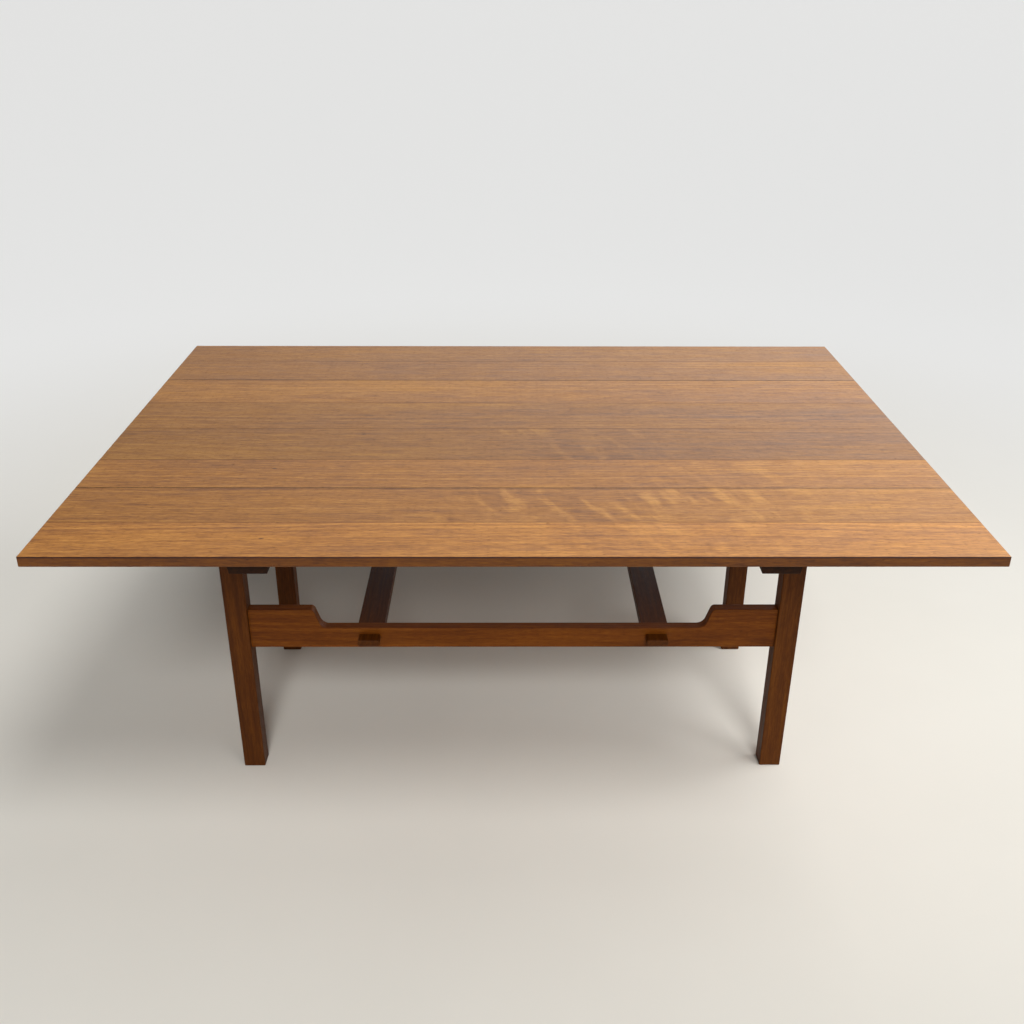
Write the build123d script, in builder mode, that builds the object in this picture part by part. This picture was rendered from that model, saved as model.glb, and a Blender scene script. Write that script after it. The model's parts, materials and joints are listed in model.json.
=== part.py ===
from build123d import *

import os
from math import asin, degrees, hypot, sqrt

# Drop leaf dining table. The fixed centre panel stands on a frame of four legs, two long
# shaped stretchers, two cross stretchers, two aprons, two end rails and a centre bearer.
# A leaf hangs on each long side of the panel, on a rule joint with three hinges, and is
# held level by two slotted friction stays. Each leaf is kept flat by two battens.
#
# Millimetres. X runs along the table, Y across it, Z up. The origin is on the floor under
# the middle of the table. Pieces of the front (-Y) and right (+X) side are drawn, and the
# others are their mirror images.

# ---- Table top ----
top_length = 1710.0
table_height = 730.0
top_thickness = 20.0
centre_boards = (139.0, 175.0, 162.0, 162.0)  # widths, from the front joint to the back
leaf_width = 283.0
leaf_inner_board = 150.0
board_round = 1.5

# ---- Rule joint and hinges ----
rule_step = 4.0  # upright lip at the top of the joint
rule_gap = 0.8  # between the round of the panel and the cove of the leaf
seam_ease = 0.5  # bevel on the two arrises at the top of the joint
knuckle_radius = 3.5
hinge_length = 40.0
flap_thickness = 2.0
fixed_flap_reach = 30.0  # from the pin to the flap's far edge
leaf_flap_reach = 48.0
knuckle_width = 13.6  # the leaf's knuckle, between the panel's two
hinge_pin_radius = 1.75
hinge_play = 0.05  # radial, round the pin
knuckle_clearance = 0.3
hinge_inset = 215.0  # from the top's end to the outer hinges
fixed_flap_screws = ((-13.0, 11.0), (13.0, 11.0), (0.0, 23.0))  # along, out from the pin
leaf_flap_screws = ((-13.0, 22.0), (13.0, 22.0), (0.0, 41.0))

# ---- Legs and rails ----
end_overhang = 240.5  # top's end to the legs
side_overhang = 58.0  # hinge pins to the legs
leg_width = 47.0
leg_depth = 41.0
leg_round = 2.5
foot_chamfer = 2.0
rail_thickness = 24.0
rail_setback = 9.0  # long rails behind the legs' outer faces
rail_round = 1.5
apron_height = 70.0
tenon_thickness = 8.0
tenon_shoulder = 10.0  # above and below a tenon
tenon_gap = 1.0  # between the two tenons that meet in a leg
end_rail_tenon = 24.0

# ---- Stretchers ----
stretcher_bottom = 317.5
stretcher_end_height = 94.0
stretcher_middle_height = 48.0
stretcher_end_length = 139.0  # leg to the crest of the step
stretcher_step_run = 16.0
stretcher_crest_radius = 10.0
stretcher_valley_radius = 20.0
stretcher_tenon = 25.0
cross_inset = 257.5  # leg to the middle of a cross stretcher
cross_width = 58.0
cross_thickness = 22.0
cross_bottom = 333.0
through_tenon_width = 46.0
through_tenon_thickness = 14.0
through_tenon_stand_out = 26.5
through_tenon_round = 3.0
through_tenon_chamfer = 1.0

# ---- Centre bearer and top buttons ----
bearer_width = 50.0
bearer_height = 40.0
bearer_tenon = 10.0
bearer_screw_inset = 25.0
button_width = 24.0
button_length = 30.0
button_tongue = 8.0  # how far and how thick it reaches into the rail
button_gap = 1.0  # to the rail's face and round the tongue
apron_button_inset = 120.0  # from the legs
bearer_button_offset = 185.0
end_button_offset = 110.0

# ---- Leaf battens ----
batten_inset = 388.0  # top's end to the middle of a batten
batten_width = 75.0
batten_foot_width = 67.0
batten_thickness = 25.0
batten_edge_inset = 20.0  # from the leaf's outer edge
batten_joint_inset = 8.0  # from the leaf's cove
batten_screw_gauge = 38.0

# ---- Screws ----
wood_screw_radius = 2.5
wood_screw_head = 4.8
wood_screw_head_height = 2.4
wood_screw_length = 30.0
wood_screw_grip = 16.0  # thickness that it clamps to the top
counterbore_radius = 5.5
small_screw_radius = 1.75
small_screw_head = 3.3
small_screw_head_height = 1.6
small_screw_length = 14.0
driver_slot = 0.8

# ---- Friction stays ----
stay_inset = 32.5  # leg to the face of the brackets' ears
stay_radius = 112.0  # hinge pin to either pivot of the stay
leaf_pivot_drop = 17.5  # below the hinge pin
base_pivot_inset = 45.0  # inside the hinge pin
arm_width = 18.0
arm_thickness = 3.0
bracket_thickness = 2.5
bracket_width = 26.0
leaf_bracket_length = 44.0
leaf_ear_radius = 9.0
base_bracket_height = 56.0
base_bracket_drop = 6.0  # below the underside of the top
base_ear_radius = 10.0
washer_thickness = 1.0
washer_radius = 8.0
stay_play = 0.05  # each side of the arm
slot_play = 0.1  # each side of the stud
stud_radius = 3.0
stud_head_radius = 6.5
stud_head_height = 2.5
nut_across_flats = 10.0
nut_height = 5.0
rivet_radius = 2.5
rivet_head_radius = 5.0
rivet_head_height = 2.0

# ---- Places worked out from the sizes ----
half_length = top_length / 2
underside = table_height - top_thickness
centre_width = sum(centre_boards)
hinge_y = centre_width / 2
hinge_z = underside + knuckle_radius
rule_radius = top_thickness - knuckle_radius - rule_step
cove_radius = rule_radius + rule_gap
leaf_edge_y = hinge_y + leaf_width
leaf_joint_y = hinge_y + leaf_inner_board

leg_outer_x = half_length - end_overhang
leg_inner_x = leg_outer_x - leg_width
leg_x = leg_outer_x - leg_width / 2
leg_outer_y = hinge_y - side_overhang
leg_inner_y = leg_outer_y - leg_depth
leg_y = leg_outer_y - leg_depth / 2
rail_outer_y = leg_outer_y - rail_setback
rail_inner_y = rail_outer_y - rail_thickness
rail_y = rail_outer_y - rail_thickness / 2
apron_z = underside - apron_height / 2
apron_tenon = (leg_width - tenon_thickness) / 2 - tenon_gap
rail_tenon_height = apron_height - 2 * tenon_shoulder
end_rail_inner_x = leg_x - rail_thickness / 2

stretcher_end_z = stretcher_bottom + stretcher_end_height / 2
stretcher_tenon_height = stretcher_end_height - 2 * tenon_shoulder
cross_x = leg_inner_x - cross_inset
cross_z = cross_bottom + cross_thickness / 2
cross_tenon_end_y = rail_outer_y + through_tenon_stand_out

bearer_z = underside - bearer_height / 2
bearer_tenon_width = bearer_width - 2 * tenon_shoulder
bearer_tenon_height = bearer_height - 2 * tenon_shoulder
screw_seat_z = underside - wood_screw_grip

batten_x = half_length - batten_inset
batten_start_y = hinge_y + cove_radius + batten_joint_inset
batten_end_y = leaf_edge_y - batten_edge_inset
batten_bottom = underside - batten_thickness

stay_x = leg_inner_x - stay_inset
leaf_pivot = (hinge_y + sqrt(stay_radius**2 - leaf_pivot_drop**2), hinge_z - leaf_pivot_drop)
base_pivot = (hinge_y - base_pivot_inset, hinge_z - sqrt(stay_radius**2 - base_pivot_inset**2))
# With both pivots at the same distance from the hinge pin, the arm turns half as far as
# the leaf, and the stud runs along a straight slot.
dropped_leaf_pivot = (hinge_y - leaf_pivot_drop, hinge_z - (leaf_pivot[0] - hinge_y))
slot_far = hypot(leaf_pivot[0] - base_pivot[0], leaf_pivot[1] - base_pivot[1])
slot_near = hypot(dropped_leaf_pivot[0] - base_pivot[0], dropped_leaf_pivot[1] - base_pivot[1])
washer_x = stay_x - washer_thickness
arm_x = washer_x - stay_play - arm_thickness
rivet_seat_x = arm_x - stay_play
outer_washer_x = rivet_seat_x - washer_thickness
leaf_ear_x = stay_x - washer_thickness

hinge_xs = (-(half_length - hinge_inset), 0.0, half_length - hinge_inset)

os.makedirs("parts", exist_ok=True)


def save(part, name):
    """Label a finished piece and write it."""
    part.label = name
    export_step(part, f"parts/{name}.step")


def mirrored(part, plane):
    """The piece's mirror image in a plane through the origin."""
    with BuildPart() as image:
        mirror(part, about=plane)
    return image.part


def save_front_and_back(part, name):
    """Write a piece of the front side and its twin at the back."""
    save(part, f"front_{name}")
    save(mirrored(part, Plane.XZ), f"back_{name}")


def save_right_and_left(part, name):
    """Write a piece of the right side and its twin on the left."""
    save(part, f"right_{name}")
    save(mirrored(part, Plane.YZ), f"left_{name}")


def save_at_four_corners(part, name):
    """Write a piece of the front right corner and its three twins."""
    left = mirrored(part, Plane.YZ)
    save_front_and_back(part, f"right_{name}")
    save_front_and_back(left, f"left_{name}")


# ---- Screws: a countersunk head at the origin, the shank along +Z ----
def screw_shape(radius, head_radius, head_height, length):
    """A screw without its driver slot, which is also the shape of its hole."""
    with BuildPart() as shape:
        with BuildSketch(Plane.XZ):
            with BuildLine():
                Polyline(
                    (0, 0),
                    (head_radius, 0),
                    (radius, head_height),
                    (radius, length - 2 * radius),
                    (0, length),
                    close=True,
                )
            make_face()
        revolve(axis=Axis.Z)
    return shape.part


def slotted(shape, head_radius, head_height):
    """The screw with its driver slot cut."""
    with BuildPart() as screw:
        add(shape)
        Box(2 * head_radius, driver_slot, head_height, mode=Mode.SUBTRACT)
    return screw.part


def screw_group(screw, places):
    """Identical screws as one group of separate solids."""
    with BuildPart() as group:
        with Locations(*places):
            add(screw)
    return group.part


wood_hole = screw_shape(
    wood_screw_radius, wood_screw_head, wood_screw_head_height, wood_screw_length
)
wood_screw = slotted(wood_hole, wood_screw_head, wood_screw_head_height)
small_hole = screw_shape(
    small_screw_radius, small_screw_head, small_screw_head_height, small_screw_length
)
small_screw = slotted(small_hole, small_screw_head, small_screw_head_height)

button_screw_y = rail_inner_y - button_gap - button_length / 2
button_screw_x = end_rail_inner_x - button_gap - button_length / 2
apron_button_xs = (leg_inner_x - apron_button_inset, bearer_button_offset)
bearer_board_ys = [
    sum(centre_boards[: i + 1]) - centre_boards[i] / 2 - hinge_y for i in (1, 2)
]
bearer_screw_ys = [
    -(rail_inner_y - bearer_screw_inset),
    *bearer_board_ys,
    rail_inner_y - bearer_screw_inset,
]
apron_button_places = [
    (sx * x, sy * button_screw_y) for x in apron_button_xs for sx in (-1, 1) for sy in (-1, 1)
]
end_button_places = [
    (sx * button_screw_x, sy * end_button_offset) for sx in (-1, 1) for sy in (-1, 1)
]
top_screw_places = [
    Location((x, y, screw_seat_z))
    for x, y in (*apron_button_places, *end_button_places, *((0, y) for y in bearer_screw_ys))
]
batten_screw_ys = ((batten_start_y + leaf_joint_y) / 2, (leaf_joint_y + batten_end_y) / 2)
batten_screw_places = [
    Location((sx * batten_x + dx, -y, screw_seat_z))
    for sx in (-1, 1)
    for dx in (-batten_screw_gauge / 2, batten_screw_gauge / 2)
    for y in batten_screw_ys
]
fixed_flap_places = [
    Location((x + dx, out - hinge_y, underside)) for x in hinge_xs for dx, out in fixed_flap_screws
]
leaf_flap_places = [
    Location((x + dx, -out - hinge_y, underside)) for x in hinge_xs for dx, out in leaf_flap_screws
]
bracket_screw_x = stay_x + (bracket_width + bracket_thickness) / 2
leaf_bracket_places = [
    Location((sx * bracket_screw_x, -leaf_pivot[0] + dy, underside - bracket_thickness))
    for sx in (-1, 1)
    for dy in (-leaf_bracket_length / 4, leaf_bracket_length / 4)
]
base_bracket_top = underside - base_bracket_drop
base_bracket_z = base_bracket_top - base_bracket_height / 2
base_bracket_places = [
    Location((sx * bracket_screw_x, -rail_outer_y - bracket_thickness, z), (-90, 0, 0))
    for sx in (-1, 1)
    for z in (base_bracket_z - base_bracket_height / 4, base_bracket_z + base_bracket_height / 4)
]


# ---- Legs ----
def make_leg():
    """The front right leg, with its three mortises."""
    with BuildPart() as leg:
        with BuildSketch():
            with Locations((leg_x, -leg_y)):
                Rectangle(leg_width, leg_depth)
        extrude(amount=underside)
        fillet(leg.edges().filter_by(Axis.Z), radius=leg_round)
        chamfer(leg.faces().sort_by(Axis.Z)[0].edges(), length=foot_chamfer)
        with Locations((leg_inner_x, -rail_y, apron_z)):
            Box(2 * apron_tenon, tenon_thickness, rail_tenon_height, mode=Mode.SUBTRACT)
        with Locations((leg_inner_x, -rail_y, stretcher_end_z)):
            Box(2 * stretcher_tenon, tenon_thickness, stretcher_tenon_height, mode=Mode.SUBTRACT)
        with Locations((leg_x, -leg_inner_y, apron_z)):
            Box(tenon_thickness, 2 * end_rail_tenon, rail_tenon_height, mode=Mode.SUBTRACT)
    return leg.part


save_at_four_corners(make_leg(), "leg")


# ---- Long shaped stretchers ----
def through_tenon_bar(length):
    """A bar with the section of the through tenons, lying along Y at the origin."""
    with BuildPart() as bar:
        Box(through_tenon_width, length, through_tenon_thickness)
        fillet(bar.edges().filter_by(Axis.Y), radius=through_tenon_round)
    return bar.part


def make_long_stretcher():
    """The front stretcher: raised ends that step down to a lower middle."""
    crest_x = leg_inner_x - stretcher_end_length
    valley_x = crest_x - stretcher_step_run
    end_top = stretcher_bottom + stretcher_end_height
    middle_top = stretcher_bottom + stretcher_middle_height
    with BuildPart() as stretcher:
        with BuildSketch(Plane.XZ.offset(rail_inner_y)):
            with BuildLine() as outline:
                right = FilletPolyline(
                    (0, middle_top),
                    (valley_x, middle_top),
                    (crest_x, end_top),
                    (leg_inner_x, end_top),
                    radius=(stretcher_valley_radius, stretcher_crest_radius),
                )
                Polyline(right @ 1, (leg_inner_x, stretcher_bottom), (0, stretcher_bottom))
                mirror(outline.line, about=Plane.YZ)
            make_face()
        extrude(amount=rail_thickness)
        long_edges = stretcher.faces().filter_by(Axis.Y).edges()
        fillet(long_edges.filter_by(Axis.Z, reverse=True), radius=rail_round)
        with Locations(*((sx * leg_inner_x, -rail_y, stretcher_end_z) for sx in (-1, 1))):
            Box(2 * stretcher_tenon, tenon_thickness, stretcher_tenon_height)
        with Locations((-cross_x, -rail_y, cross_z), (cross_x, -rail_y, cross_z)):
            add(through_tenon_bar(2 * rail_thickness), mode=Mode.SUBTRACT)
    return stretcher.part


save_front_and_back(make_long_stretcher(), "stretcher")


# ---- Cross stretchers ----
with BuildPart() as cross_stretcher:
    with Locations((cross_x, 0, cross_z)):
        Box(cross_width, 2 * rail_inner_y, cross_thickness)
    fillet(cross_stretcher.edges().filter_by(Axis.Y), radius=rail_round)
    with Locations((cross_x, 0, cross_z)):
        add(through_tenon_bar(2 * cross_tenon_end_y))
    tenon_ends = cross_stretcher.faces().filter_by(Axis.Y)
    ends = [tenon_ends.sort_by(Axis.Y)[0], tenon_ends.sort_by(Axis.Y)[-1]]
    chamfer([edge for face in ends for edge in face.edges()], length=through_tenon_chamfer)
save_right_and_left(cross_stretcher.part, "cross_stretcher")


# ---- Aprons, end rails and centre bearer ----
def cut_button_groove():
    """A stopped groove for a button's tongue, along X, opening towards +Y from the origin."""
    Box(
        button_width + 2 * button_gap,
        2 * (button_tongue + button_gap),
        button_tongue + button_gap / 2,
        mode=Mode.SUBTRACT,
    )


groove_z = underside - button_tongue - (button_tongue + button_gap / 2) / 2

with BuildPart() as apron:
    with Locations((0, -rail_y, apron_z)):
        Box(2 * leg_inner_x, rail_thickness, apron_height)
    fillet(apron.faces().sort_by(Axis.Z)[0].edges().filter_by(Axis.X), radius=rail_round)
    with Locations((0, -rail_y, apron_z)):
        Box(2 * (leg_inner_x + apron_tenon), tenon_thickness, rail_tenon_height)
    with Locations((0, -rail_inner_y, bearer_z)):
        Box(bearer_tenon_width, 2 * bearer_tenon, bearer_tenon_height, mode=Mode.SUBTRACT)
    groove_xs = [sx * x for x in apron_button_xs for sx in (-1, 1)]
    with Locations(*((x, -rail_inner_y, groove_z) for x in groove_xs)):
        cut_button_groove()
    with Locations(*base_bracket_places):
        add(small_hole, mode=Mode.SUBTRACT)
save_front_and_back(apron.part, "apron")

with BuildPart() as end_rail:
    with Locations((leg_x, 0, apron_z)):
        Box(rail_thickness, 2 * leg_inner_y, apron_height)
    fillet(end_rail.faces().sort_by(Axis.Z)[0].edges().filter_by(Axis.Y), radius=rail_round)
    with Locations((leg_x, 0, apron_z)):
        Box(tenon_thickness, 2 * (leg_inner_y + end_rail_tenon), rail_tenon_height)
    groove_places = [
        Location((end_rail_inner_x, sy * end_button_offset, groove_z), (0, 0, 90)) for sy in (-1, 1)
    ]
    with Locations(*groove_places):
        cut_button_groove()
save_right_and_left(end_rail.part, "end_rail")

with BuildPart() as bearer:
    with Locations((0, 0, bearer_z)):
        Box(bearer_width, 2 * rail_inner_y, bearer_height)
    fillet(bearer.faces().sort_by(Axis.Z)[0].edges().filter_by(Axis.Y), radius=rail_round)
    with Locations((0, 0, bearer_z)):
        Box(bearer_tenon_width, 2 * (rail_inner_y + bearer_tenon), bearer_tenon_height)
    with Locations(*top_screw_places):
        add(wood_hole, mode=Mode.SUBTRACT)
    with Locations(*((0, y, screw_seat_z) for y in bearer_screw_ys)):
        Cylinder(
            counterbore_radius,
            bearer_height,
            align=(Align.CENTER, Align.CENTER, Align.MAX),
            mode=Mode.SUBTRACT,
        )
save(bearer.part, "centre_bearer")


# ---- Buttons that hold the top down ----
def make_button():
    """A button at the origin, its tongue towards -Y, its screw hole over the origin."""
    with BuildPart() as button:
        with Locations((0, 0, underside)):
            Box(
                button_width,
                button_length,
                wood_screw_grip,
                align=(Align.CENTER, Align.CENTER, Align.MAX),
            )
        chamfer(button.faces().sort_by(Axis.Y)[-1].edges().filter_by(Axis.X)[:1], length=2)
        with Locations((0, -button_length / 2, underside - button_tongue)):
            Box(
                button_width,
                button_tongue + button_gap,
                button_tongue,
                align=(Align.CENTER, Align.MAX, Align.MAX),
            )
        with Locations((0, 0, screw_seat_z)):
            add(wood_hole, mode=Mode.SUBTRACT)
    return button.part


button = make_button()
button_places = [
    *(Location((x, y, 0), (0, 0, 0 if y < 0 else 180)) for x, y in apron_button_places),
    *(Location((x, y, 0), (0, 0, 90 if x > 0 else -90)) for x, y in end_button_places),
]
with BuildPart() as buttons:
    with Locations(*button_places):
        add(button)
save(buttons.part, "top_buttons")
save(screw_group(wood_screw, top_screw_places), "top_screws")


# ---- Boards of the table top ----
def round_section(inner_y):
    """The section of the panel's front board, rounded about the hinge pin."""
    foot = degrees(asin(knuckle_radius / rule_radius))
    arc = CenterArc((-hinge_y, hinge_z), rule_radius, 90, 90 + foot)
    Polyline(
        arc @ 0,
        (-hinge_y, table_height - seam_ease),
        (seam_ease - hinge_y, table_height),
        (-inner_y, table_height),
        (-inner_y, underside),
        arc @ 1,
    )


def cove_section(outer_y):
    """The section of the front leaf's inner board, hollowed to turn round the panel."""
    lip = degrees(asin(rule_gap / cove_radius))
    arc = CenterArc((-hinge_y, hinge_z), cove_radius, 90 + lip, 90 - lip)
    Polyline(
        arc @ 1,
        (-hinge_y - cove_radius, underside),
        (-outer_y, underside),
        (-outer_y, table_height),
        (-hinge_y - rule_gap - seam_ease, table_height),
        (-hinge_y - rule_gap, table_height - seam_ease),
        arc @ 0,
    )


def drilled(board, hole, places):
    """The board with a hole for each of the screws that enter it."""
    with BuildPart() as result:
        add(board)
        with Locations(*places):
            add(hole, mode=Mode.SUBTRACT)
    return result.part


def make_edge_board(inner_y):
    """The centre panel's front board, with room for the hinges' knuckles and flaps."""
    room = knuckle_radius + knuckle_clearance
    with BuildPart() as board:
        with BuildSketch(Plane.YZ.offset(-half_length)):
            with BuildLine():
                round_section(inner_y)
            make_face()
        extrude(amount=top_length)
        fillet(board.edges().filter_by(Axis.Y), radius=board_round)
        for x in hinge_xs:
            with Locations((x, room - hinge_y, underside)):
                Box(
                    hinge_length + 2 * knuckle_clearance,
                    room + 2 * rule_radius,
                    2 * (knuckle_radius + room),
                    align=(Align.CENTER, Align.MAX, Align.CENTER),
                    mode=Mode.SUBTRACT,
                )
            with Locations((x, -hinge_y, underside)):
                Box(
                    hinge_length,
                    fixed_flap_reach,
                    2 * flap_thickness,
                    align=(Align.CENTER, Align.MIN, Align.CENTER),
                    mode=Mode.SUBTRACT,
                )
    return drilled(board.part, small_hole, fixed_flap_places)


def make_inner_board(low_y, high_y):
    """A plain board of the centre panel."""
    with BuildPart() as board:
        with Locations((0, (low_y + high_y) / 2, underside + top_thickness / 2)):
            Box(top_length, high_y - low_y, top_thickness)
        fillet(board.edges().filter_by(Axis.Y), radius=board_round)
    return board.part


joint_ys = [sum(centre_boards[:i]) - hinge_y for i in range(1, len(centre_boards))]
boards = [
    make_edge_board(-joint_ys[0]),
    *(make_inner_board(low_y, high_y) for low_y, high_y in zip(joint_ys, joint_ys[1:])),
    mirrored(make_edge_board(joint_ys[-1]), Plane.XZ),
]
for number, board in enumerate(boards, start=1):
    save(drilled(board, wood_hole, top_screw_places), f"centre_board_{number}")


# ---- Leaves ----
def finish_leaf_board(board):
    """The board with the leaf flaps' recesses and every hole that meets it."""
    with BuildPart() as result:
        add(board)
        with Locations(*((x, -hinge_y, underside) for x in hinge_xs)):
            Box(
                hinge_length,
                leaf_flap_reach,
                2 * flap_thickness,
                align=(Align.CENTER, Align.MAX, Align.CENTER),
                mode=Mode.SUBTRACT,
            )
    bored = drilled(result.part, wood_hole, batten_screw_places)
    return drilled(bored, small_hole, [*leaf_flap_places, *leaf_bracket_places])


with BuildPart() as leaf_inner:
    with BuildSketch(Plane.YZ.offset(-half_length)):
        with BuildLine():
            cove_section(leaf_joint_y)
        make_face()
    extrude(amount=top_length)
    fillet(leaf_inner.edges().filter_by(Axis.Y), radius=board_round)
save_front_and_back(finish_leaf_board(leaf_inner.part), "leaf_inner_board")

with BuildPart() as leaf_outer:
    with Locations((0, -(leaf_joint_y + leaf_edge_y) / 2, underside + top_thickness / 2)):
        Box(top_length, leaf_edge_y - leaf_joint_y, top_thickness)
    free_edges = leaf_outer.faces().sort_by(Axis.Y)[0].edges()
    fillet(leaf_outer.edges().filter_by(Axis.Y) + free_edges, radius=board_round)
save_front_and_back(finish_leaf_board(leaf_outer.part), "leaf_outer_board")


# ---- Leaf battens ----
with BuildPart() as batten:
    with BuildSketch(Plane.XZ.offset(batten_start_y)):
        with BuildLine():
            Polyline(
                (batten_x - batten_width / 2, underside),
                (batten_x + batten_width / 2, underside),
                (batten_x + batten_foot_width / 2, batten_bottom),
                (batten_x - batten_foot_width / 2, batten_bottom),
                close=True,
            )
        make_face()
    extrude(amount=batten_end_y - batten_start_y)
    fillet(batten.faces().sort_by(Axis.Z)[0].edges(), radius=rail_round)
    with Locations(*batten_screw_places):
        add(wood_hole, mode=Mode.SUBTRACT)
        Cylinder(
            counterbore_radius,
            batten_thickness,
            align=(Align.CENTER, Align.CENTER, Align.MAX),
            mode=Mode.SUBTRACT,
        )
save_at_four_corners(batten.part, "batten")
save_front_and_back(screw_group(wood_screw, batten_screw_places), "batten_screws")


# ---- Hinges ----
def make_flap(middle_x, reach, bore_radius, knuckles, towards_leaf):
    """A flap let in flush with the underside, rolled round the pin at its knuckles."""
    root = knuckle_radius + knuckle_clearance
    side = -1 if towards_leaf else 1
    outwards = Align.MAX if towards_leaf else Align.MIN
    with BuildPart() as flap:
        with Locations((middle_x, side * root - hinge_y, underside)):
            Box(
                hinge_length,
                reach - root,
                flap_thickness,
                align=(Align.CENTER, outwards, Align.MIN),
            )
        for low_x, high_x in knuckles:
            with BuildSketch(Plane.YZ.offset(middle_x + low_x)):
                with Locations((-hinge_y, hinge_z)):
                    Circle(knuckle_radius)
                with Locations((-hinge_y, underside)):
                    Rectangle(root, flap_thickness, align=(outwards, Align.MIN))
                with Locations((-hinge_y, hinge_z)):
                    Circle(bore_radius, mode=Mode.SUBTRACT)
            extrude(amount=high_x - low_x)
    return flap.part


def make_fixed_flap(middle_x):
    """The flap under the centre panel, with the two outer knuckles."""
    end = hinge_length / 2
    inner = knuckle_width / 2 + knuckle_clearance
    knuckles = ((-end, -inner), (inner, end))
    flap = make_flap(middle_x, fixed_flap_reach, hinge_pin_radius, knuckles, False)
    return drilled(flap, small_hole, fixed_flap_places)


def make_leaf_flap(middle_x):
    """The longer flap under the leaf, with the middle knuckle."""
    knuckles = ((-knuckle_width / 2, knuckle_width / 2),)
    bore_radius = hinge_pin_radius + hinge_play
    flap = make_flap(middle_x, leaf_flap_reach, bore_radius, knuckles, True)
    return drilled(flap, small_hole, leaf_flap_places)


for place, x in zip(("left", "middle", "right"), hinge_xs):
    save_front_and_back(make_fixed_flap(x), f"{place}_hinge_fixed_flap")
    save_front_and_back(make_leaf_flap(x), f"{place}_hinge_leaf_flap")

with BuildPart() as hinge_pins:
    with Locations(*((x, sy * hinge_y, hinge_z) for x in hinge_xs for sy in (-1, 1))):
        Cylinder(hinge_pin_radius, hinge_length, rotation=(0, 90, 0))
save(hinge_pins.part, "hinge_pins")


# ---- Friction stays ----
def make_arm():
    """The slotted arm, pivoted on the leaf and running on the stud under the apron."""
    along = Plane(
        origin=(arm_x, -leaf_pivot[0], leaf_pivot[1]),
        x_dir=(0, leaf_pivot[0] - base_pivot[0], base_pivot[1] - leaf_pivot[1]),
        z_dir=(1, 0, 0),
    )
    with BuildPart() as arm:
        with BuildSketch(along):
            with Locations((slot_far / 2, 0)):
                SlotCenterToCenter(slot_far, arm_width)
            with Locations(((slot_near + slot_far) / 2, 0)):
                SlotCenterToCenter(
                    slot_far - slot_near, 2 * (stud_radius + slot_play), mode=Mode.SUBTRACT
                )
            Circle(rivet_radius + hinge_play, mode=Mode.SUBTRACT)
        extrude(amount=arm_thickness)
    return arm.part


def make_leaf_bracket():
    """The angle under the leaf that carries the arm's pivot."""
    pivot_y, pivot_z = -leaf_pivot[0], leaf_pivot[1]
    with BuildPart() as bracket:
        with Locations((leaf_ear_x, pivot_y, underside)):
            Box(
                bracket_width,
                leaf_bracket_length,
                bracket_thickness,
                align=(Align.MIN, Align.CENTER, Align.MAX),
            )
        with BuildSketch(Plane.YZ.offset(leaf_ear_x)):
            with Locations((pivot_y, pivot_z)):
                Circle(leaf_ear_radius)
            with Locations((pivot_y, underside)):
                Rectangle(
                    leaf_bracket_length, bracket_thickness, align=(Align.CENTER, Align.MAX)
                )
            make_hull()
            with Locations((pivot_y, pivot_z)):
                Circle(rivet_radius, mode=Mode.SUBTRACT)
        extrude(amount=bracket_thickness)
    return drilled(bracket.part, small_hole, leaf_bracket_places)


def make_base_bracket():
    """The angle on the apron whose ear hangs below it and holds the stud."""
    pivot_y, pivot_z = -base_pivot[0], base_pivot[1]
    with BuildPart() as bracket:
        with Locations((stay_x, -rail_outer_y, base_bracket_z)):
            Box(
                bracket_width,
                bracket_thickness,
                base_bracket_height,
                align=(Align.MIN, Align.MAX, Align.CENTER),
            )
        with BuildSketch(Plane.YZ.offset(stay_x)):
            with Locations((pivot_y, pivot_z)):
                Circle(base_ear_radius)
            with Locations((-rail_outer_y, base_bracket_z)):
                Rectangle(
                    bracket_thickness, base_bracket_height, align=(Align.MAX, Align.CENTER)
                )
            make_hull()
            with Locations((pivot_y, pivot_z)):
                Circle(stud_radius, mode=Mode.SUBTRACT)
        extrude(amount=bracket_thickness)
    return drilled(bracket.part, small_hole, base_bracket_places)


def across(x, pivot):
    """A plane square to X at a pivot of the stay, facing outwards."""
    return Plane(origin=(x, -pivot[0], pivot[1]), x_dir=(0, 1, 0), z_dir=(1, 0, 0))


def make_pivot(pivot, radius, head_radius, head_height, seat_x, end_x):
    """A headed pivot that starts at its head's seat and runs outwards."""
    with BuildPart() as pin:
        with BuildSketch(across(seat_x - head_height, pivot)):
            Circle(head_radius)
        extrude(amount=head_height)
        chamfer(pin.faces().sort_by(Axis.X)[0].edges(), length=head_height / 3)
        with BuildSketch(across(seat_x, pivot)):
            Circle(radius)
        extrude(amount=end_x - seat_x)
    return pin.part


def at_both_ends(part):
    """A piece of the right side and its twin on the left, as one group."""
    with BuildPart() as group:
        add([part, mirrored(part, Plane.YZ)])
    return group.part


def at_four_corners(part):
    """A piece of the front right corner and its three twins, as one group."""
    pair = at_both_ends(part)
    with BuildPart() as group:
        add([pair, mirrored(pair, Plane.XZ)])
    return group.part


save_at_four_corners(make_arm(), "stay_arm")
save_at_four_corners(make_leaf_bracket(), "stay_leaf_bracket")
save(at_four_corners(make_base_bracket()), "stay_base_brackets")

with BuildPart() as base_washers:
    for x in (outer_washer_x, washer_x):
        with BuildSketch(across(x, base_pivot)):
            Circle(washer_radius)
            Circle(stud_radius, mode=Mode.SUBTRACT)
        extrude(amount=washer_thickness)
save(at_four_corners(base_washers.part), "stay_washers")

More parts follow.
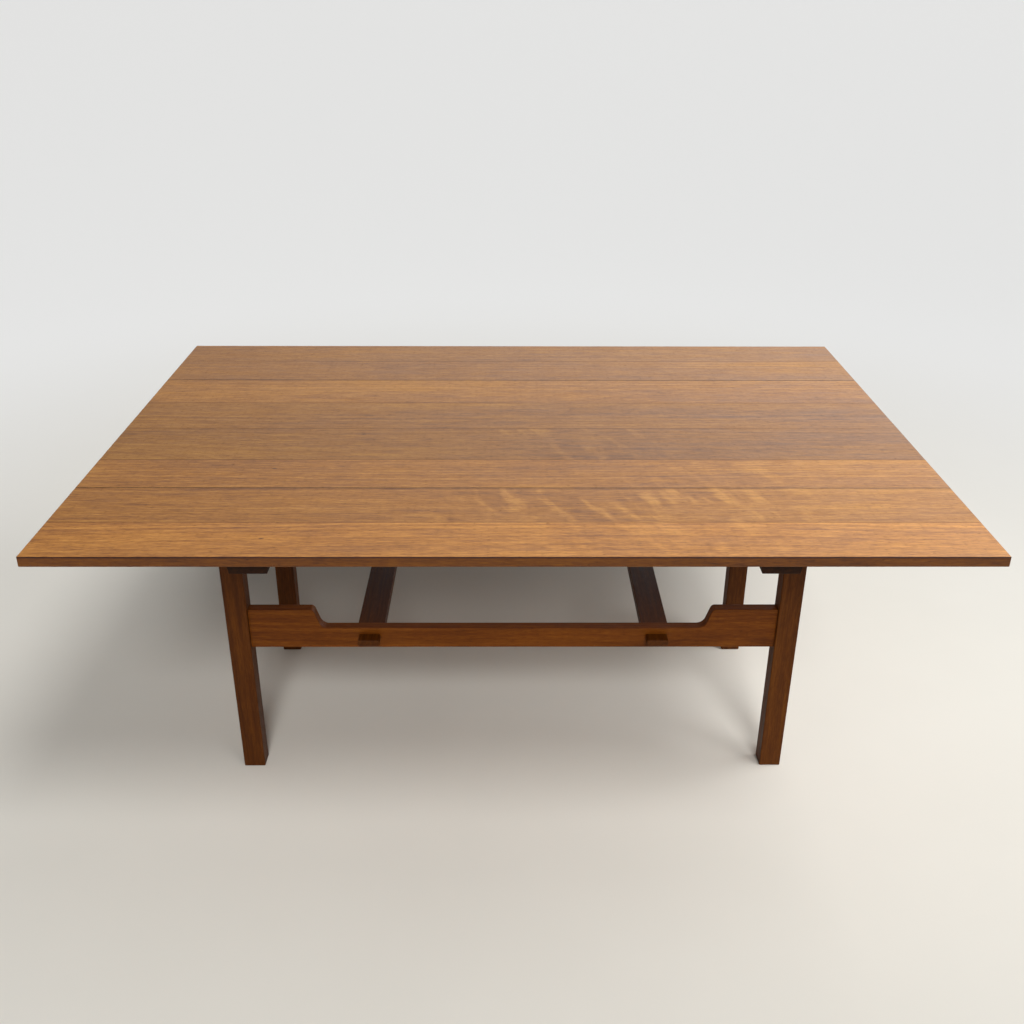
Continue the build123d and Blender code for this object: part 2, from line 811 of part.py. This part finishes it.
nut_seat_x = stay_x + bracket_thickness
with BuildPart() as nut:
    with BuildSketch(across(nut_seat_x, base_pivot)):
        RegularPolygon(nut_across_flats / 2, 6, major_radius=False)
        Circle(stud_radius, mode=Mode.SUBTRACT)
    extrude(amount=nut_height)
save(at_four_corners(nut.part), "stay_nuts")

stud = make_pivot(
    base_pivot,
    stud_radius,
    stud_head_radius,
    stud_head_height,
    outer_washer_x,
    nut_seat_x + nut_height,
)
save(at_four_corners(stud), "stay_studs")

rivet = make_pivot(
    leaf_pivot,
    rivet_radius,
    rivet_head_radius,
    rivet_head_height,
    rivet_seat_x,
    leaf_ear_x + bracket_thickness,
)
save_front_and_back(at_both_ends(rivet), "stay_rivets")

# ---- Screws of the hinges and brackets ----
leaf_screws = screw_group(small_screw, [*leaf_flap_places, *leaf_bracket_places])
save_front_and_back(leaf_screws, "leaf_hardware_screws")
frame_screws = screw_group(small_screw, [*fixed_flap_places, *base_bracket_places])
with BuildPart() as frame_hardware_screws:
    add([frame_screws, mirrored(frame_screws, Plane.XZ)])
save(frame_hardware_screws.part, "frame_hardware_screws")
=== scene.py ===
"""Drop leaf table: materials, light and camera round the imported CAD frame. Metres."""

import json
import math

import bpy
from mathutils import Matrix, Vector


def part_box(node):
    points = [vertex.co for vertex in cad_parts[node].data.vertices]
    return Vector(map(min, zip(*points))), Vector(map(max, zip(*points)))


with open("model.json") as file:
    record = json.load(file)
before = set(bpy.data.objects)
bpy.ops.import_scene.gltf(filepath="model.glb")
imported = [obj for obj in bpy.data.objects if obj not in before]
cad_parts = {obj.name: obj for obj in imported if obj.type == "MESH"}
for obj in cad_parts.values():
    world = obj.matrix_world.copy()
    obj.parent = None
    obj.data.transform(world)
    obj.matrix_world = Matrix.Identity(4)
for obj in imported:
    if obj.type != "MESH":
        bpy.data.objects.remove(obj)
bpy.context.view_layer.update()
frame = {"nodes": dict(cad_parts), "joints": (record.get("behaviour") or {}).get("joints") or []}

NODES = frame["nodes"]

# ---- Camera: a standing person, 1.6 m up, looking down at the middle of the top ----
CAMERA_PLACE = Vector((-0.0186, -2.2252, 1.6094))
CAMERA_PITCH = math.radians(26.053)
CAMERA_YAW = math.radians(-0.440)
CAMERA_ROLL = math.radians(0.206)
LENS_MM = 37.79
SENSOR_MM = 36.0

# ---- Lights ----
BROAD_LIGHTS = {  # where the light comes from, strength, spread in degrees
    "high_right": ((0.50, -0.42, 1.0), 1.20, 20.0),
    "front": ((0.15, -1.30, 1.0), 1.70, 18.0),
}
BOX_PLACE = (1.75, -0.15, 1.95)
BOX_TARGET = (0.6, -0.05, 0.7)
BOX_SIZE = (1.0, 1.2)
BOX_POWER = 18.0

# ---- Surround: its brightness as ambient light, as seen, and as mirrored in gloss ----
AMBIENT = 0.15
SEEN_SURROUND = 0.80
REFLECTED_FRONT = 0.05
REFLECTED_BACK = 1.15
REFLECTED_LEFT = 0.05  # these two multiply the front and back ones
REFLECTED_RIGHT = 1.95

# ---- Floor ----
FLOOR_SIZE = 900.0
FLOOR_NEAR = ((0.74, 0.715, 0.65), (0.80, 0.775, 0.71))
# Painted light: the floor pales from the near colours to the far one with distance from the table.
FLOOR_FAR_PAINTED_LIGHT = (0.97, 0.97, 0.96)
FLOOR_PAINTED_LIGHT_FADE = (1.0, 4.0)  # from the table's middle

# ---- Wood tones, linear colour, dark to light ----
TOP_TONES = ((0.168, 0.057, 0.010), (0.350, 0.142, 0.026), (0.535, 0.254, 0.057))
# The frame is of the top's wood; its darker tones are painted shade for the frame under the top.
SHADED_FRAME_TONES = ((0.070, 0.015, 0.001), (0.145, 0.038, 0.002), (0.250, 0.076, 0.006))
BUTTON_TONES = ((0.300, 0.170, 0.080), (0.460, 0.290, 0.150), (0.580, 0.400, 0.230))
TONE_PLACES = (0.16, 0.5, 0.86)

# ---- Marks in the wood, and painted shade on the boards' side faces, top arrises and open seams ----
PORE = (0.050, 0.016, 0.004)
KNOT = (0.040, 0.012, 0.004)
GLUE_LINE = (0.100, 0.032, 0.010)
# Painted shade: the dark line at the top beside the open joint between panel and leaf.
PAINTED_SEAM_SHADE = (0.030, 0.008, 0.004)
# Painted shade: the boards' side faces made darker, and a darker line along their top arris.
PAINTED_SIDE_SHADE = (0.27, 0.19, 0.02)
PAINTED_ARRIS_SHADE = (0.07, 0.02, 0.01)
PORE_CUT = (0.66, 0.76)  # the vessels' noise, from no pore to a full one
# Reaches in metres: where a mark is full, and where it has faded.
GLUE_LINE_REACH = (0.0007, 0.0016)
PAINTED_SEAM_SHADE_REACH = (0.0010, 0.0017)
PAINTED_SEAM_SHADE_DEPTH = (0.004, 0.005)
PAINTED_ARRIS_SHADE_DEPTH = (0.0022, 0.0034)
WORN_REACH = (0.0006, 0.0035)  # the least and the most

# ---- Layers of the figure: scale along, across and through the grain, detail, roughness ----
STREAKS = ((6.0, 120.0, 120.0), 4.0, 0.6)
MOTTLE = ((14.0, 60.0, 60.0), 3.0, 0.6)
FLECKS = ((45.0, 420.0, 420.0), 3.0, 0.6)
CLOUDS = ((1.3, 7.0, 7.0), 2.0, 0.5)
FIBRES = ((60.0, 2600.0, 2600.0), 2.0, 0.5)
VESSELS = ((75.0, 1500.0, 1500.0), 0.0, 0.5)
RUBBING = ((9.0, 30.0, 30.0), 3.0, 0.7)

# How strongly rings, streaks, mottle, flecks, clouds and fibres show.
BOARD_FIGURE = (0.50, 0.45, 0.40, 0.85, 0.60, 0.25)
STRAIGHT_FIGURE = (0.55, 0.70, 0.15, 0.60, 0.45, 0.25)

GRAIN_AXES = {"X": (0, 1, 2), "Y": (1, 0, 2), "Z": (2, 0, 1)}  # along, across, through

# ---- Pieces ----
BOARDS = {  # tone, pith across and through
    "centre_board_1": (1.07, (0.16, -0.07)),
    "centre_board_2": (0.80, (-0.10, -0.10)),
    "centre_board_3": (0.83, (0.05, -0.09)),
    "centre_board_4": (1.00, (-0.04, -0.08)),
    "front_leaf_inner_board": (1.06, (0.20, -0.09)),
    "front_leaf_outer_board": (1.36, (-0.22, -0.06)),
    "back_leaf_inner_board": (0.93, (-0.12, -0.06)),
    "back_leaf_outer_board": (0.90, (0.10, -0.08)),
}
RIPPLE = {  # strength, and the stretch that shows it
    "centre_board_1": (0.12, 0.20, 0.60),
    "centre_board_2": (0.25, -0.15, 0.30),
    "front_leaf_inner_board": (0.38, -0.12, 0.55),
    "front_leaf_outer_board": (0.15, 0.05, 0.50),
}
KNOTS = {  # places along and across the top
    "centre_board_1": [(-0.485, -0.225)],
    "centre_board_2": [(-0.326, -0.040)],
    "front_leaf_outer_board": [(-0.450, -0.534)],
}
# Each piece's tone darkens it further; the low tones of the batten, cross stretcher and legs are
# painted shade.
FRAME_PIECES = {  # grain, tone
    "leg": ("Z", 0.55),
    "stretcher": ("X", 0.92),
    "cross_stretcher": ("Y", 0.45),
    "apron": ("X", 0.80),
    "end_rail": ("Y", 0.80),
    "centre_bearer": ("Y", 0.75),
    "batten": ("Y", 0.13),
}

# ---- Metals and nylon ----
METALS = {  # colour, tarnish, roughness, brushing
    "brass": ((0.60, 0.40, 0.15), (0.22, 0.13, 0.05), 0.30, 0.10),
    "screw_brass": ((0.66, 0.46, 0.19), (0.26, 0.16, 0.06), 0.26, 0.0),
    "stay_steel": ((0.46, 0.45, 0.44), (0.19, 0.17, 0.15), 0.30, 0.15),
    "screw_steel": ((0.55, 0.54, 0.50), (0.24, 0.22, 0.18), 0.28, 0.0),
}
NYLON = (0.70, 0.66, 0.56)
NYLON_RUBBED = (0.33, 0.31, 0.27)


class Tree:
    """A node tree whose nodes are written as nested calls."""

    def __init__(self, tree):
        self.tree = tree

    def add(self, kind, inputs=(), **settings):
        """A node; inputs maps a socket's name or number to a value or to another socket."""
        node = self.tree.nodes.new(kind)
        for key, value in settings.items():
            setattr(node, key, value)
        for key, value in dict(inputs).items():
            self.put(node.inputs[key], value)
        return node

    def put(self, socket, value):
        """Sets a socket, or links another one to it."""
        if isinstance(value, bpy.types.NodeSocket):
            self.tree.links.new(value, socket)
        else:
            socket.default_value = value

    def math(self, operation, a, b=0.0, c=0.0):
        """A sum, product or other operation on up to three numbers."""
        return self.add("ShaderNodeMath", {0: a, 1: b, 2: c}, operation=operation).outputs[0]

    def vector(self, operation, a, b=(0.0, 0.0, 0.0)):
        """An operation on two vectors."""
        return self.add("ShaderNodeVectorMath", {0: a, 1: b}, operation=operation).outputs[0]

    def length(self, a):
        """A vector's length."""
        return self.add("ShaderNodeVectorMath", {0: a}, operation="LENGTH").outputs["Value"]

    def joined(self, x, y, z=0.0):
        """A vector from three numbers."""
        return self.add("ShaderNodeCombineXYZ", {0: x, 1: y, 2: z}).outputs[0]

    def split(self, vector):
        """A vector's three numbers."""
        return self.add("ShaderNodeSeparateXYZ", {0: vector}).outputs

    def spread(self, value, low, high, to_low=0.0, to_high=1.0, smooth=False):
        """The value's range from low to high, stretched to another range and cut off there."""
        kind = "SMOOTHSTEP" if smooth else "LINEAR"
        sockets = {0: value, 1: low, 2: high, 3: to_low, 4: to_high}
        return self.add("ShaderNodeMapRange", sockets, interpolation_type=kind).outputs[0]


class Shader(Tree):
    """A new material's node tree."""

    def __init__(self, name):
        self.material = bpy.data.materials.new(name)
        self.material.use_nodes = True
        super().__init__(self.material.node_tree)
        self.surface = self.tree.nodes["Principled BSDF"]
        self.coordinates = self.add("ShaderNodeTexCoord").outputs["Object"]

    def noise(self, vector, scale, detail=2.0, roughness=0.5):
        """Noise from 0 to 1; scale is one number or one for each axis."""
        if not isinstance(scale, (int, float)):
            vector = self.vector("MULTIPLY", vector, scale)
            scale = 1.0
        sockets = {"Vector": vector, "Scale": scale, "Detail": detail, "Roughness": roughness}
        return self.add("ShaderNodeTexNoise", sockets).outputs[0]

    def sum(self, *terms):
        """0.5 and, for each (value, weight), the value's distance from 0.5 times the weight."""
        total = 0.5
        for value, weight in terms:
            total = self.math("MULTIPLY_ADD", self.math("SUBTRACT", value, 0.5), weight, total)
        return total

    def mix(self, factor, a, b, blend="MIX"):
        """One colour fading into another, or multiplied by it."""
        values = {0: factor, 6: rgba(a), 7: rgba(b)}
        return self.add("ShaderNodeMix", values, data_type="RGBA", blend_type=blend).outputs[2]

    def ramp(self, value, *stops):
        """Colours along a value, from (place, colour) stops."""
        node = self.add("ShaderNodeValToRGB", {0: value})
        elements = node.color_ramp.elements
        for element, (place, colour) in zip(elements, (stops[0], stops[-1])):
            element.position = place
            element.color = rgba(colour)
        for place, colour in stops[1:-1]:
            elements.new(place).color = rgba(colour)
        return node.outputs[0]

    def bump(self, height, strength, distance):
        """A normal tilted by a height."""
        sockets = {"Height": height, "Strength": strength, "Distance": distance}
        return self.add("ShaderNodeBump", sockets).outputs[0]

    def finish(self, **sockets):
        """The material, its surface's sockets set; a name's underscores stand for spaces."""
        for key, value in sockets.items():
            self.put(self.surface.inputs[key.replace("_", " ")], rgba(value))
        return self.material


def rgba(colour):
    """A colour with its fourth channel, or anything else as it is."""
    return (*colour, 1.0) if isinstance(colour, tuple) else colour


def scaled(colour, factor):
    """A colour made lighter or darker."""
    return tuple(channel * factor for channel in colour)


def tinted(factor, tones):
    """A set of tones made lighter or darker."""
    return tuple(scaled(colour, factor) for colour in tones)


# ---- Wood material ----
def wood(
    name,
    grain,
    seed,
    tones,
    pith,
    box,
    joints=(),
    seam=None,
    ripple=None,
    knots=(),
    painted_side_shades=None,
    figure=STRAIGHT_FIGURE,
    wear=0.15,
    rough=0.52,
    specular=0.12,
):
    """Oiled hardwood, solid through the piece.

    tones are its dark, middle and light colours. pith is where the tree's middle lies from
    the piece's own middle, across and through, so it sets how the rings are cut. joints are
    the places across the top where the piece is glued to another, and seam is the middle of
    the open joint beside it, where painted shade darkens the top. ripple is a strength and
    the stretch along the grain that shows it, and knots are places along and across. The side
    tints are painted shade, multiplied into the faces that are neither top nor bottom, the
    second one a darker line along their top. figure says how strongly each layer shows, and
    wear how pale the rubbed edges are.
    """
    shader = Shader(name)
    low, high = box
    position = shader.split(shader.coordinates)
    along, across, through = GRAIN_AXES[grain]
    turned = shader.joined(position[along], position[across], position[through])
    moved = shader.vector("ADD", turned, (3.1 * seed, 1.7 * seed, 2.3 * seed))
    centre = ((low[across] + high[across]) / 2, (low[through] + high[through]) / 2)

    rings = growth_rings(shader, moved, (position[across], position[through]), centre, pith, seed)
    layers = (STREAKS, MOTTLE, FLECKS, CLOUDS, FIBRES)
    streaks, mottle, flecks, clouds, fibres = (shader.noise(moved, *layer) for layer in layers)
    pores = shader.spread(shader.noise(moved, *VESSELS), *PORE_CUT, smooth=True)
    terms = list(zip((rings, streaks, mottle, flecks, clouds, fibres), figure))
    if ripple:
        strength, first, last = ripple
        bars = ripple_figure(shader, moved, position[along], position[across], first, last)
        terms.append((bars, strength))
    colour = shader.ramp(shader.sum(*terms), *zip(TONE_PLACES, tones))
    colour = shader.mix(shader.math("MULTIPLY", pores, 0.6), colour, PORE)
    for x, y in knots:
        colour = shader.mix(knot(shader, turned, (x, y, 0.0)), colour, KNOT)

    rub = shader.noise(moved, *RUBBING)
    worn = worn_edges(shader, position, rub, low, high)
    colour = shader.mix(shader.math("MULTIPLY", worn, wear), colour, tones[-1])
    below_top = shader.math("SUBTRACT", high.z, position[2])
    # Dark glue lines, and painted shade beside the open seam.
    colour = joint_lines(shader, colour, position[1], below_top, joints, seam)
    # Painted shade on the side faces and along their top arris.
    if painted_side_shades:
        colour = paint_side_shade(shader, colour, below_top, *painted_side_shades)

    gloss = shader.sum((streaks, 0.22), (clouds, 0.16), (rub, 0.10))
    roughness = shader.math("ADD", gloss, rough - 0.5)
    roughness = shader.math("MULTIPLY_ADD", worn, 0.12, roughness)
    roughness = shader.math("MULTIPLY_ADD", pores, 0.20, roughness)
    height = shader.sum((streaks, 0.35), (flecks, 0.35), (fibres, 0.30))
    height = shader.math("MULTIPLY_ADD", pores, -0.8, height)
    return shader.finish(
        Base_Color=colour,
        Roughness=roughness,
        Normal=shader.bump(height, 0.35, 0.00025),
        Specular_IOR_Level=specular,
    )


def growth_rings(shader, moved, place, centre, pith, seed):
    """Bands round the pith, at places across and through, that wander along the grain."""
    radii = []
    for side in range(2):
        total = shader.math("SUBTRACT", place[side], centre[side] + pith[side])
        for reach, size in ((0.8, 0.060), (3.0, 0.009)):
            stretch = (reach + 0.2 * side, 2.5 * reach, 2.5 * reach)
            wander = shader.math("SUBTRACT", shader.noise(moved, stretch, detail=1.0), 0.5)
            total = shader.math("MULTIPLY_ADD", wander, size, total)
        radii.append(total)
    radius = shader.length(shader.joined(*radii))
    sockets = {
        "W": shader.math("ADD", radius, 0.37 * seed),
        "Scale": 130.0,
        "Detail": 4.0,
        "Roughness": 0.6,
    }
    return shader.add("ShaderNodeTexNoise", sockets, noise_dimensions="1D").outputs[0]


def ripple_figure(shader, moved, along, across, first, last):
    """Slanting light and dark bars across the grain, from first to last along it."""
    slant = shader.math("MULTIPLY_ADD", across, 0.4, along)
    warp = shader.noise(moved, (5.0, 9.0, 9.0), detail=2.0)
    phase = shader.math("MULTIPLY_ADD", warp, 0.05, slant)
    flat = shader.joined(phase, across)
    bars = shader.noise(flat, (20.0, 5.0, 1.0), detail=2.5, roughness=0.55)
    bars = shader.spread(bars, 0.46, 0.68, smooth=True)
    patches = shader.noise(moved, (4.0, 13.0, 13.0), detail=1.0)
    patches = shader.spread(patches, 0.30, 0.55, smooth=True)
    rise = shader.spread(along, first - 0.12, first + 0.12, smooth=True)
    fall = shader.spread(along, last - 0.12, last + 0.12, 1.0, 0.0, smooth=True)
    shown = shader.math("MULTIPLY", shader.math("MULTIPLY", rise, fall), patches)
    return shader.math("MULTIPLY_ADD", shader.math("SUBTRACT", bars, 0.25), shown, 0.5)


def knot(shader, turned, place):
    """One in a pin knot, a little longer than it is wide, fading to zero round it."""
    offset = shader.vector("SUBTRACT", turned, place)
    flat = shader.vector("MULTIPLY", offset, (180.0, 420.0, 0.0))
    blur = shader.noise(turned, 500.0, detail=2.0)
    far = shader.math("ADD", shader.length(flat), shader.math("SUBTRACT", blur, 0.5))
    return shader.spread(far, 0.35, 1.3, 0.85, 0.0, smooth=True)


def worn_edges(shader, position, rub, low, high):
    """One on edges that hands and cloths have rubbed, which reach further in some places."""
    reach = shader.spread(rub, 0.35, 0.75, *WORN_REACH)
    edge = shader.math("DIVIDE", distance_to_edge(shader, position, low, high), reach)
    return shader.spread(edge, 0.4, 1.0, 1.0, 0.0, smooth=True)


def distance_to_edge(shader, position, low, high):
    """How far a point on a squared piece's surface is from the nearest edge."""
    depths = []
    for axis in range(3):
        middle, half = (low[axis] + high[axis]) / 2, (high[axis] - low[axis]) / 2
        offset = shader.math("ABSOLUTE", shader.math("SUBTRACT", position[axis], middle))
        depths.append(shader.math("SUBTRACT", half, offset))
    a, b, c = depths
    smaller = shader.math("MINIMUM", a, b)
    larger = shader.math("MAXIMUM", a, b)
    return shader.math("MAXIMUM", smaller, shader.math("MINIMUM", larger, c))


def joint_lines(shader, colour, across_table, below_top, joints, seam):
    """The colour, darkened along glued joints, and with painted shade at the top beside an open
    joint.
    """
    for joint in joints:
        line = line_across(shader, across_table, joint, *GLUE_LINE_REACH)
        colour = shader.mix(shader.math("MULTIPLY", line, 0.7), colour, GLUE_LINE)
    if seam is not None:
        line = line_across(shader, across_table, seam, *PAINTED_SEAM_SHADE_REACH)
        at_top = shader.spread(below_top, *PAINTED_SEAM_SHADE_DEPTH, 1.0, 0.0)
        colour = shader.mix(shader.math("MULTIPLY", line, at_top), colour, PAINTED_SEAM_SHADE)
    return colour


def line_across(shader, value, middle, full, faded):
    """One on a line across the value's axis, fading to zero beside it."""
    gap = shader.math("ABSOLUTE", shader.math("SUBTRACT", value, middle))
    return shader.spread(gap, full, faded, 1.0, 0.0, smooth=True)


def paint_side_shade(shader, colour, below_top, side, arris):
    """The colour with painted shade: multiplied by a dark tint on the side faces and by a darker
    one along their top.
    """
    normal = shader.add("ShaderNodeTexCoord").outputs["Normal"]
    upward = shader.math("ABSOLUTE", shader.split(normal)[2])
    sideways = shader.spread(upward, 0.80, 0.95, 1.0, 0.0, smooth=True)
    along_top = shader.spread(below_top, *PAINTED_ARRIS_SHADE_DEPTH, 1.0, 0.0, smooth=True)
    return shader.mix(sideways, colour, shader.mix(along_top, side, arris), blend="MULTIPLY")


# ---- Metal and nylon materials ----
def metal(name, colour, tarnish, roughness, brushed):
    """Metal with fine scratches, a duller film in patches, and bright rubbed edges."""
    shader = Shader(name)
    film = shader.noise(shader.coordinates, 55.0, detail=5.0, roughness=0.65)
    film = shader.spread(film, 0.42, 0.68, smooth=True)
    grain = shader.noise(shader.coordinates, (700.0, 5200.0, 5200.0), detail=2.0)
    scratches = shader.noise(shader.coordinates, (260.0, 3000.0, 900.0), detail=3.0, roughness=0.7)
    nicks = shader.spread(scratches, 0.62, 0.70)
    base = shader.mix(shader.math("MULTIPLY", film, 0.75), colour, tarnish)
    base = shader.mix(shader.math("MULTIPLY", sharp_edges(shader), 0.6), base, scaled(colour, 1.25))
    base = shader.mix(shader.math("MULTIPLY", nicks, 0.35), base, scaled(colour, 1.15))
    rough = shader.math("MULTIPLY_ADD", film, 0.22, roughness)
    rough = shader.math("MULTIPLY_ADD", shader.math("SUBTRACT", grain, 0.5), 0.15 + brushed, rough)
    height = shader.sum((grain, 0.6), (scratches, 0.6))
    return shader.finish(
        Base_Color=base,
        Metallic=1.0,
        Roughness=rough,
        Normal=shader.bump(height, 0.25, 0.00004),
    )


def sharp_edges(shader):
    """One within half a millimetre of a sharp edge, from how a rounded one would turn."""
    soft = shader.add("ShaderNodeBevel", {"Radius": 0.0005}, samples=4).outputs[0]
    sharp = shader.add("ShaderNodeNewGeometry").outputs["Normal"]
    alike = shader.add("ShaderNodeVectorMath", {0: soft, 1: sharp}, operation="DOT_PRODUCT")
    return shader.spread(alike.outputs["Value"], 0.86, 0.99, 1.0, 0.0)


def nylon(name):
    """Natural nylon: milky, with faint grey rub marks."""
    shader = Shader(name)
    marks = shader.noise(shader.coordinates, 240.0, detail=4.0, roughness=0.7)
    rubbed = shader.spread(marks, 0.5, 0.75, smooth=True)
    colour = shader.mix(shader.math("MULTIPLY", rubbed, 0.4), NYLON, NYLON_RUBBED)
    return shader.finish(
        Base_Color=colour,
        Roughness=shader.spread(marks, 0.3, 0.7, 0.38, 0.6),
        Normal=shader.bump(marks, 0.2, 0.00005),
    )


# ---- Materials of the CAD nodes ----
def dress(node, material):
    """Gives a CAD node its finished material."""
    slots = NODES[node].data.materials
    slots.clear()
    slots.append(material)


def glued_joints():
    """For each group of boards glued together, where neighbours meet across the table."""
    centre = sorted(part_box(board)[0].y for board in BOARDS if board.startswith("centre"))
    return {
        "centre": centre[1:],
        "front": [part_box("front_leaf_outer_board")[1].y],
        "back": [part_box("back_leaf_outer_board")[0].y],
    }


def seam_place(side):
    """The middle of the open joint between the panel, which ends over the pin, and a leaf."""
    pin = next(j["pos_m"][1] for j in frame["joints"] if j["name"] == f"{side}_leaf_hinge")
    low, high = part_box(f"{side}_leaf_inner_board")
    leaf_edge = high.y if side == "front" else low.y
    return (pin + leaf_edge) / 2


def dress_boards():
    """The eight boards of the top, each from its own tree."""
    joints = glued_joints()
    seams = {
        "centre_board_1": seam_place("front"),
        "front_leaf_inner_board": seam_place("front"),
        "centre_board_4": seam_place("back"),
        "back_leaf_inner_board": seam_place("back"),
    }
    for seed, (node, (tone, pith)) in enumerate(BOARDS.items(), start=1):
        low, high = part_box(node)
        group = joints[node.split("_")[0]]
        material = wood(
            node,
            "X",
            seed,
            tinted(tone, TOP_TONES),
            pith,
            (low, high),
            [joint for joint in group if low.y - 0.001 < joint < high.y + 0.001],
            seam=seams.get(node),
            ripple=RIPPLE.get(node),
            knots=KNOTS.get(node, ()),
            # The side faces and top arrises get painted shade.
            painted_side_shades=(PAINTED_SIDE_SHADE, PAINTED_ARRIS_SHADE),
            figure=BOARD_FIGURE,
            wear=0.0,
            rough=0.40,
            specular=0.32,
        )
        dress(node, material)


def dress_frame():
    """Legs, stretchers, rails, bearer and battens, and the pale buttons."""
    for seed, node in enumerate(sorted(NODES), start=20):
        kinds = [kind for kind in FRAME_PIECES if node.endswith(kind)]
        if kinds:
            grain, tone = FRAME_PIECES[max(kinds, key=len)]
            pith = (0.05 + 0.01 * (seed % 5), -0.04 - 0.01 * (seed % 3))
            # The frame's darker tones are painted shade.
            dress(node, wood(node, grain, seed, tinted(tone, SHADED_FRAME_TONES), pith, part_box(node)))
    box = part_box("top_buttons")
    buttons = wood("buttons", "Y", 7, BUTTON_TONES, (0.06, -0.05), box, wear=0.0, rough=0.62)
    dress("top_buttons", buttons)


def dress_hardware():
    """Hinges, stays and screws."""
    metals = {name: metal(name, *settings) for name, settings in METALS.items()}
    for node in NODES:
        if node.endswith("_flap") or node == "hinge_pins":
            dress(node, metals["brass"])
        elif "hardware_screws" in node:
            dress(node, metals["screw_brass"])
        elif node.endswith("screws"):
            dress(node, metals["screw_steel"])
        elif node == "stay_washers":
            dress(node, nylon("nylon"))
        elif "stay" in node:
            dress(node, metals["stay_steel"])


# ---- Floor, light and camera ----
def make_floor():
    """A plain pale floor, faintly mottled, with painted light that makes it paler with distance
    from the table.
    """
    bpy.ops.mesh.primitive_plane_add(size=FLOOR_SIZE)
    floor = bpy.context.object
    floor.name = "floor"
    shader = Shader("pale_floor")
    mottle = shader.noise(shader.coordinates, 1.6, detail=6.0, roughness=0.6)
    # Painted light: paler with distance from the table.
    far = shader.spread(shader.length(shader.coordinates), *FLOOR_PAINTED_LIGHT_FADE, smooth=True)
    material = shader.finish(
        Base_Color=shader.mix(far, shader.mix(mottle, *FLOOR_NEAR), FLOOR_FAR_PAINTED_LIGHT),
        Roughness=0.85,
        Specular_IOR_Level=0.2,
    )
    floor.data.materials.append(material)


def aimed(name, data, place, target):
    """A light put in its place, facing a target."""
    light = bpy.data.objects.new(name, data)
    bpy.context.scene.collection.objects.link(light)
    light.location = place
    light.rotation_mode = "QUATERNION"
    light.rotation_quaternion = (Vector(target) - Vector(place)).to_track_quat("-Z", "Y")


def broad_light(name, direction, strength, spread_degrees):
    """Far, soft light that comes from a direction."""
    data = bpy.data.lights.new(name, "SUN")
    data.energy = strength
    data.angle = math.radians(spread_degrees)
    aimed(name, data, direction, (0.0, 0.0, 0.0))


def soft_box():
    """A large rectangular lamp over the right end."""
    data = bpy.data.lights.new("right_box", "AREA")
    data.shape = "RECTANGLE"
    data.size, data.size_y = BOX_SIZE
    data.energy = BOX_POWER
    aimed("right_box", data, BOX_PLACE, BOX_TARGET)


def make_world():
    """A pale surround: dim as light, and in the gloss brighter behind and on the right."""
    world = bpy.data.worlds.new("studio")
    bpy.context.scene.world = world
    world.use_nodes = True
    sky = Tree(world.node_tree)
    path = sky.add("ShaderNodeLightPath").outputs
    x, y, _ = sky.split(sky.add("ShaderNodeTexCoord").outputs["Generated"])
    behind = sky.spread(y, -0.3, 0.8, REFLECTED_FRONT, REFLECTED_BACK)
    beside = sky.spread(x, -0.6, 0.6, REFLECTED_LEFT, REFLECTED_RIGHT)
    gloss = sky.math("MULTIPLY", behind, beside)
    glossy = sky.math("MULTIPLY", path["Is Glossy Ray"], gloss)
    seen = sky.math("MULTIPLY", path["Is Camera Ray"], SEEN_SURROUND)
    diffuse = sky.math("MULTIPLY", path["Is Diffuse Ray"], AMBIENT)
    total = sky.math("ADD", sky.math("ADD", glossy, seen), diffuse)
    background = sky.tree.nodes["Background"]
    sky.put(background.inputs["Color"], (1.0, 1.0, 1.0, 1.0))
    sky.put(background.inputs["Strength"], total)


def make_lights():
    """The surround, two broad lights from the front, and a soft box over the right end."""
    make_world()
    for name, settings in BROAD_LIGHTS.items():
        broad_light(name, *settings)
    soft_box()


def make_camera():
    """The camera, turned by its yaw, pitch and roll."""
    data = bpy.data.cameras.new("camera")
    data.lens = LENS_MM
    data.sensor_width = SENSOR_MM
    camera = bpy.data.objects.new("camera", data)
    bpy.context.scene.collection.objects.link(camera)
    turn = Matrix.Rotation(CAMERA_YAW, 4, "Z")
    tilt = Matrix.Rotation(math.pi / 2 - CAMERA_PITCH, 4, "X")
    roll = Matrix.Rotation(CAMERA_ROLL, 4, "Z")
    camera.matrix_world = Matrix.Translation(CAMERA_PLACE) @ turn @ tilt @ roll
    bpy.context.scene.camera = camera


dress_boards()
dress_frame()
dress_hardware()
make_floor()
make_lights()
make_camera()
bpy.context.scene.view_settings.view_transform = "Standard"
